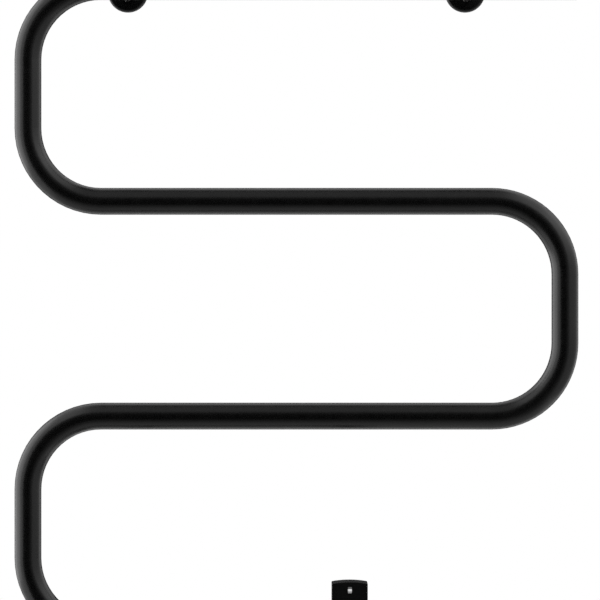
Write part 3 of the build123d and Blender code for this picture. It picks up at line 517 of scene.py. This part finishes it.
def soldered_legs():
    """Legs of the parts on the board, each cut off in a cone of solder on the far side."""
    foot = -LEG_STAND_OUT
    leg = spun("leg", [
        (0.0, foot), (LEG_RADIUS * 0.7, foot), (LEG_RADIUS, foot + LEG_RADIUS / 2),
        (LEG_RADIUS, -SOLDER_HEIGHT), (LEG_RADIUS * 1.5, -SOLDER_HEIGHT * 0.6),
        (SOLDER_RADIUS * 0.75, -SOLDER_HEIGHT * 0.2), (SOLDER_RADIUS, 0.0), (0.0, 0.0),
    ], LEG_STEPS)
    coat_with(leg, solder, SOLDER_SMOOTH_ANGLE)
    board_low, board_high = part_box("circuit_board")
    relay_low, relay_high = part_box("power_relay")
    capacitor_low, capacitor_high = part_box("filter_capacitor")
    connector_low, connector_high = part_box("board_connector")
    fuse_low, fuse_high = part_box("thermal_fuse")
    lamp_low, lamp_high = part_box("status_led")
    front, rear = board_low.y, board_high.y
    relay, capacitor = (relay_low + relay_high) / 2, (capacitor_low + capacitor_high) / 2
    connector, lamp = (connector_low + connector_high) / 2, (lamp_low + lamp_high) / 2
    edge = 2 * SOLDER_RADIUS
    places = [(relay_low.x + edge, z) for z in (relay_low.z + edge, relay_high.z - edge)]
    places += [(relay_high.x - edge, z) for z in (relay_low.z + edge, relay_high.z - edge)]
    places += [(relay.x + 2 * edge, relay_high.z - edge)]
    places += [(x, capacitor.z) for x in (capacitor_low.x + edge, capacitor_high.x - edge)]
    poles = spaced(CONNECTOR_POLES, CONNECTOR_PITCH)
    places += [(connector.x + pole, connector.z) for pole in (poles[0], poles[-1])]
    places += [((fuse_low.x + fuse_high.x) / 2, fuse_high.z + SOLDER_RADIUS)]
    quarter = math.pi / 2
    legs = set_down(leg, [(x, front, z) for x, z in places], -quarter)
    beside_lamp = (lamp.x - LAMP_LEG_PITCH / 2, lamp.x + LAMP_LEG_PITCH / 2)
    legs += set_down(leg, [(x, rear, lamp.z) for x in beside_lamp], quarter)
    scrap(leg)
    gather("soldered_legs", legs)


def copper_tracks():
    """Flat tracks under the board's green mask, each drawn as runs from corner to corner."""
    board_low, board_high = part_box("circuit_board")
    relay_low, relay_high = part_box("power_relay")
    capacitor_low, capacitor_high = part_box("filter_capacitor")
    middle = (board_low.x + board_high.x) / 2
    inset = 4 * SOLDER_RADIUS
    low, mid = relay_low.z + 2 * SOLDER_RADIUS, (relay_high.z + capacitor_low.z) / 2
    high = (capacitor_low.z + capacitor_high.z) / 2
    left, right = relay_low.x + 2 * SOLDER_RADIUS, relay_high.x - 2 * SOLDER_RADIUS
    routes = [
        [(left, low), (left, mid), (middle - inset, mid), (middle - inset, high)],
        [(right, low), (right, mid), (middle + inset, mid), (middle + inset, high)],
        [(left - inset, low), (left, low)],
        [(right, low), (right + inset, low)],
        [(middle - inset / 2, mid - inset / 2), (middle - inset / 2, high + inset)],
        [(middle + inset / 2, mid - inset / 2), (middle + inset / 2, high + inset)],
    ]
    runs = []
    for route in routes:
        for start, end in zip(route, route[1:]):
            along = Vector((end[0] - start[0], 0, end[1] - start[1]))
            ahead = along.normalized() * TRACK_WIDTH / 2
            centre = Vector((start[0], board_low.y, start[1])) + along / 2 + ahead
            deselect()
            bpy.ops.mesh.primitive_plane_add(size=1.0, location=centre, rotation=(math.pi / 2, 0, 0))
            run = bpy.context.object
            run.scale = (abs(along.x) or TRACK_WIDTH, abs(along.z) or TRACK_WIDTH, 1.0)
            bpy.ops.object.transform_apply(location=True, rotation=True, scale=True)
            bpy.ops.object.mode_set(mode="EDIT")
            bpy.ops.mesh.select_all(action="SELECT")
            rise = {"value": (0, -TRACK_HEIGHT, 0)}
            bpy.ops.mesh.extrude_region_move(TRANSFORM_OT_translate=rise)
            bpy.ops.mesh.select_all(action="SELECT")
            bpy.ops.mesh.normals_make_consistent(inside=False)
            bpy.ops.object.mode_set(mode="OBJECT")
            coat_with(run, masked_copper)
            runs.append(run)
    gather("copper_tracks", runs)


def control_chip():
    """A small chip with bent legs, flat on the board's front below the lamp."""
    board_low, board_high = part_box("circuit_board")
    relay_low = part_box("power_relay")[0]
    width, depth, height = CHIP
    centre = Vector(((board_low.x + board_high.x) / 2, board_low.y, relay_low.z + height / 2))
    gap = CHIP_LEG_WIDTH / 2
    deselect()
    bpy.ops.mesh.primitive_cube_add(size=1.0, location=centre - Vector((0, gap + depth / 2, 0)))
    body = bpy.context.object
    body.scale = (width, depth, height)
    bpy.ops.object.transform_apply(location=True, rotation=True, scale=True)
    bpy.ops.object.mode_set(mode="EDIT")
    bpy.ops.mesh.select_all(action="SELECT")
    bpy.ops.mesh.bevel(offset=gap, segments=2, affect="EDGES")
    bpy.ops.object.mode_set(mode="OBJECT")
    coat_with(body, black_part)
    deselect()
    bpy.ops.mesh.primitive_plane_add(
        size=CHIP_LEG_WIDTH, location=(0, 0, 0), rotation=(0, math.pi / 2, 0)
    )
    leg = bpy.context.object
    bpy.ops.object.transform_apply(location=True, rotation=True, scale=True)
    bpy.ops.object.mode_set(mode="EDIT")
    bpy.ops.mesh.select_all(action="SELECT")
    bpy.ops.transform.resize(value=(1, CHIP_LEG_FLATNESS, 1))
    for sideways, inwards in CHIP_LEG_RUNS:
        step = (sideways * gap, inwards * depth, 0)
        bpy.ops.mesh.extrude_region_move(TRANSFORM_OT_translate={"value": step})
    bpy.ops.mesh.select_all(action="SELECT")
    bpy.ops.mesh.normals_make_consistent(inside=False)
    bpy.ops.object.mode_set(mode="OBJECT")
    coat_with(leg, steel)
    rows = spaced(CHIP_LEGS, CHIP_LEG_PITCH)
    beside = centre - Vector((0, gap + depth / 2, 0))
    pieces = [body]
    pieces += set_down(leg, [beside + Vector((width / 2, 0, row)) for row in rows])
    left = set_down(leg, [(0, 0, 0)])[0]
    left.data.transform(Matrix.Scale(-1, 4, (1, 0, 0)))
    left.data.flip_normals()
    pieces += set_down(left, [beside + Vector((-width / 2, 0, row)) for row in rows])
    scrap(left)
    scrap(leg)
    gather("control_chip", pieces)


def chip_resistors():
    """Little resistors with tinned ends, in two columns just below the lamp."""
    lamp_low, lamp_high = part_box("status_led")
    board_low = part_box("circuit_board")[0]
    capacitor_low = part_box("filter_capacitor")[0]
    width, depth, height = RESISTOR
    deselect()
    bpy.ops.mesh.primitive_cube_add(size=1.0, location=(0, -depth / 2, 0))
    resistor = bpy.context.object
    resistor.scale = RESISTOR
    bpy.ops.object.transform_apply(location=True, rotation=True, scale=True)
    bpy.ops.object.mode_set(mode="EDIT")
    for side in (-1, 1):
        bpy.ops.mesh.select_all(action="SELECT")
        cut = (side * (width / 2 - RESISTOR_END), 0, 0)
        bpy.ops.mesh.bisect(plane_co=cut, plane_no=(1, 0, 0))
    bpy.ops.object.mode_set(mode="OBJECT")
    coat_with(resistor, black_part)
    resistor.data.materials.append(solder)
    for face in resistor.data.polygons:
        if abs(face.center.x) > width / 2 - RESISTOR_END:
            face.material_index = 1
    across = (lamp_low.x + lamp_high.x) / 2
    rows = [capacitor_low.z + 2 * row * height for row in range(RESISTOR_ROWS)]
    far = RESISTOR_OFFSET * width
    places = [(across + side * far, board_low.y, z) for side in (-1, 1) for z in rows]
    pieces = set_down(resistor, places)
    scrap(resistor)
    gather("chip_resistors", pieces)


def ferrules():
    """Collars pressed on the wires where they go into the terminals and the connector."""
    inner, outer = WIRE_RADIUS, WIRE_RADIUS + FERRULE_WALL
    top, flared = FERRULE_LENGTH, outer + FERRULE_WALL / 2
    start, end = FERRULE_FLARE
    ferrule = spun("ferrule", [
        (inner, 0.0), (outer, 0.0), (outer, top * start), (flared, top * end),
        (flared, top), (inner, top), (inner, 0.0),
    ])
    coat_with(ferrule, grey_ferrule)
    block_low, block_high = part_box("terminal_block")
    connector_low, connector_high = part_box("board_connector")
    lead_low, lead_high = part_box("heater_leads")
    block, connector = (block_low + block_high) / 2, (connector_low + connector_high) / 2
    above = [(block.x + way, block.y, block_high.z) for way in spaced(TERMINALS, TERMINAL_PITCH)]
    pieces = set_down(ferrule, above)
    depth = (lead_low.y + lead_high.y) / 2
    poles = [connector.x + way for way in spaced(CONNECTOR_POLES, CONNECTOR_PITCH)]
    pieces += set_down(ferrule, [(x, depth, connector_low.z) for x in poles], math.pi)
    scrap(ferrule)
    gather("ferrules", pieces)


for place in PLACES:
    weld_bead(place)
soldered_legs()
copper_tracks()
control_chip()
chip_resistors()
ferrules()


def floor():
    """A pale floor that holds the rail's shadow and fades into the white round it."""
    deselect()
    height = cad_low.z - FLOOR_DROP
    bpy.ops.mesh.primitive_circle_add(
        vertices=FLOOR_SIDES, radius=FLOOR_RADIUS, fill_type="NGON", location=(0, 0, height)
    )
    made = bpy.context.object
    made.name = "floor"
    surface = material("pale_floor", (0.8, 0.8, 0.8), 0.6, specular=0.2)
    shader = surface.node_tree.nodes["Principled BSDF"]
    away = node(surface, "ShaderNodeVectorMath", operation="LENGTH")
    link(surface, object_place(surface), away.inputs[0])
    fade = node(surface, "ShaderNodeMapRange", interpolation_type="SMOOTHSTEP")
    start, end = FLOOR_FADE
    fade.inputs["From Min"].default_value = start * FLOOR_RADIUS
    fade.inputs["From Max"].default_value = end * FLOOR_RADIUS
    link(surface, away.outputs["Value"], fade.inputs["Value"])
    path = node(surface, "ShaderNodeLightPath")
    seen = node(surface, "ShaderNodeMath", operation="MULTIPLY")
    link(surface, path.outputs["Is Camera Ray"], seen.inputs[0])
    link(surface, fade.outputs["Result"], seen.inputs[1])
    white = node(surface, "ShaderNodeEmission")
    blend = node(surface, "ShaderNodeMixShader")
    link(surface, seen.outputs["Value"], blend.inputs["Fac"])
    link(surface, shader.outputs["BSDF"], blend.inputs[1])
    link(surface, white.outputs["Emission"], blend.inputs[2])
    below = node(surface, "ShaderNodeNewGeometry")
    clear = node(surface, "ShaderNodeBsdfTransparent")
    one_sided = node(surface, "ShaderNodeMixShader")
    link(surface, below.outputs["Backfacing"], one_sided.inputs["Fac"])
    link(surface, blend.outputs["Shader"], one_sided.inputs[1])
    link(surface, clear.outputs["BSDF"], one_sided.inputs[2])
    output = surface.node_tree.nodes["Material Output"]
    link(surface, one_sided.outputs["Shader"], output.inputs["Surface"])
    made.data.materials.append(surface)
    made.visible_glossy = False


def aim(made, target):
    made.rotation_euler = (Vector(target) - made.location).to_track_quat("-Z", "Y").to_euler()


def softbox(name, place, target, width, height, radiance):
    """An area lamp with this radiance over its whole face."""
    lamp = bpy.data.lights.new(name, "AREA")
    lamp.shape = "RECTANGLE"
    lamp.size = width
    lamp.size_y = height
    lamp.energy = radiance * math.pi * width * height
    made = bpy.data.objects.new(name, lamp)
    bpy.context.scene.collection.objects.link(made)
    made.location = place
    aim(made, target)
    made.visible_camera = False


def studio_card(name, place, target, width, height, middle, *rises):
    """A card seen only in reflections, with the radiance of its middle. A rise adds to that along
    an axis, from a start to an end, as shares of the card's size."""
    deselect()
    bpy.ops.mesh.primitive_plane_add(size=1.0, location=place)
    made = bpy.context.object
    made.name = name
    aim(made, target)
    made.scale = (width, height, 1.0)
    surface = bpy.data.materials.new(name)
    surface.use_nodes = True
    surface.node_tree.nodes.remove(surface.node_tree.nodes["Principled BSDF"])
    glow = node(surface, "ShaderNodeEmission")
    glow.inputs["Strength"].default_value = middle
    parts = node(surface, "ShaderNodeSeparateXYZ")
    link(surface, object_place(surface), parts.inputs["Vector"])
    total = None
    for axis, start, end, gain in rises:
        fade = node(surface, "ShaderNodeMapRange", interpolation_type="SMOOTHSTEP")
        fade.inputs["From Min"].default_value = start
        fade.inputs["From Max"].default_value = end
        fade.inputs["To Max"].default_value = gain
        link(surface, parts.outputs[axis], fade.inputs["Value"])
        both = node(surface, "ShaderNodeMath", operation="ADD")
        both.inputs[0].default_value = middle
        if total:
            link(surface, total, both.inputs[0])
        link(surface, fade.outputs["Result"], both.inputs[1])
        total = both.outputs["Value"]
        link(surface, total, glow.inputs["Strength"])
    output = surface.node_tree.nodes["Material Output"]
    link(surface, glow.outputs["Emission"], output.inputs["Surface"])
    made.data.materials.append(surface)
    made.visible_camera = False
    made.visible_diffuse = False
    made.visible_shadow = False


def studio():
    middle = (0.0, TUBE_Y, (cad_low.z + cad_high.z) / 2)
    high, level = (0.0, TUBE_Y, 1.2), (0.0, TUBE_Y, 0.4)
    # Rises: axis, start, end and radiance added
    right = ("X", 0.05, 0.5, 0.28)
    ends = (("Y", 0.16, 0.5, 0.2), ("Y", -0.16, -0.5, 0.2))
    upper = ("Y", -0.15, 0.25, 1.1)
    sides = (("X", 0.10, 0.22, 0.75), ("X", -0.10, -0.22, 0.75))
    lower = ("Y", 0.45, -0.05, 0.42)
    # Lamp and cards: place, what each faces, width, height and radiance, then the rises
    softbox("left_softbox", (-2.8, 0.45, 1.2), high, 3.4, 5.2, 1.3)
    studio_card("upper_left_card", (-2.6, 2.5, 2.2), middle, 2.4, 2.4, 1.0)
    studio_card("front_card", (-0.2, -5.0, -0.9), middle, 8.6, 10.4, 0.0, right, *ends)
    studio_card("back_card", (0.0, 4.0, -0.3), middle, 5.6, 5.0, 0.04)
    studio_card("right_card", (2.8, -0.7, 0.4), level, 4.6, 6.0, 0.5, upper)
    studio_card("top_card", (0.0, -0.75, 2.6), middle, 5.6, 5.0, 0.38, *sides)
    studio_card("low_card", (0.0, -0.8, -3.4), middle, 5.6, 6.4, 0.14, lower)


def world():
    """White round the rail as the camera and reflections see it, and a little dimmer as a light."""
    made = bpy.data.worlds.new("studio_white")
    bpy.context.scene.world = made
    made.use_nodes = True
    nodes = made.node_tree.nodes
    links = made.node_tree.links
    background = nodes["Background"]
    path = nodes.new("ShaderNodeLightPath")
    seen = nodes.new("ShaderNodeMath")
    seen.operation = "MAXIMUM"
    through = nodes.new("ShaderNodeMath")
    through.operation = "MAXIMUM"
    links.new(path.outputs["Is Camera Ray"], seen.inputs[0])
    links.new(path.outputs["Is Glossy Ray"], seen.inputs[1])
    links.new(seen.outputs["Value"], through.inputs[0])
    links.new(path.outputs["Is Transmission Ray"], through.inputs[1])
    strength = nodes.new("ShaderNodeMapRange")
    strength.inputs["To Min"].default_value = WHITE_CAST
    strength.inputs["To Max"].default_value = WHITE_SEEN
    links.new(through.outputs["Value"], strength.inputs["Value"])
    background.inputs["Color"].default_value = (1.0, 1.0, 1.0, 1.0)
    links.new(strength.outputs["Result"], background.inputs["Strength"])


def camera():
    data = bpy.data.cameras.new("camera")
    data.sensor_width = SENSOR_WIDTH
    data.lens = SENSOR_WIDTH * CAMERA_DISTANCE / FRAME_WIDTH
    data.clip_end = CAMERA_REACH
    made = bpy.data.objects.new("camera", data)
    bpy.context.scene.collection.objects.link(made)
    made.location = (CAMERA_X, TUBE_Y - CAMERA_DISTANCE, CAMERA_Z)
    made.rotation_euler = (math.pi / 2, 0.0, 0.0)
    bpy.context.scene.camera = made


floor()
studio()
world()
camera()
bpy.context.scene.view_settings.view_transform = "Standard"
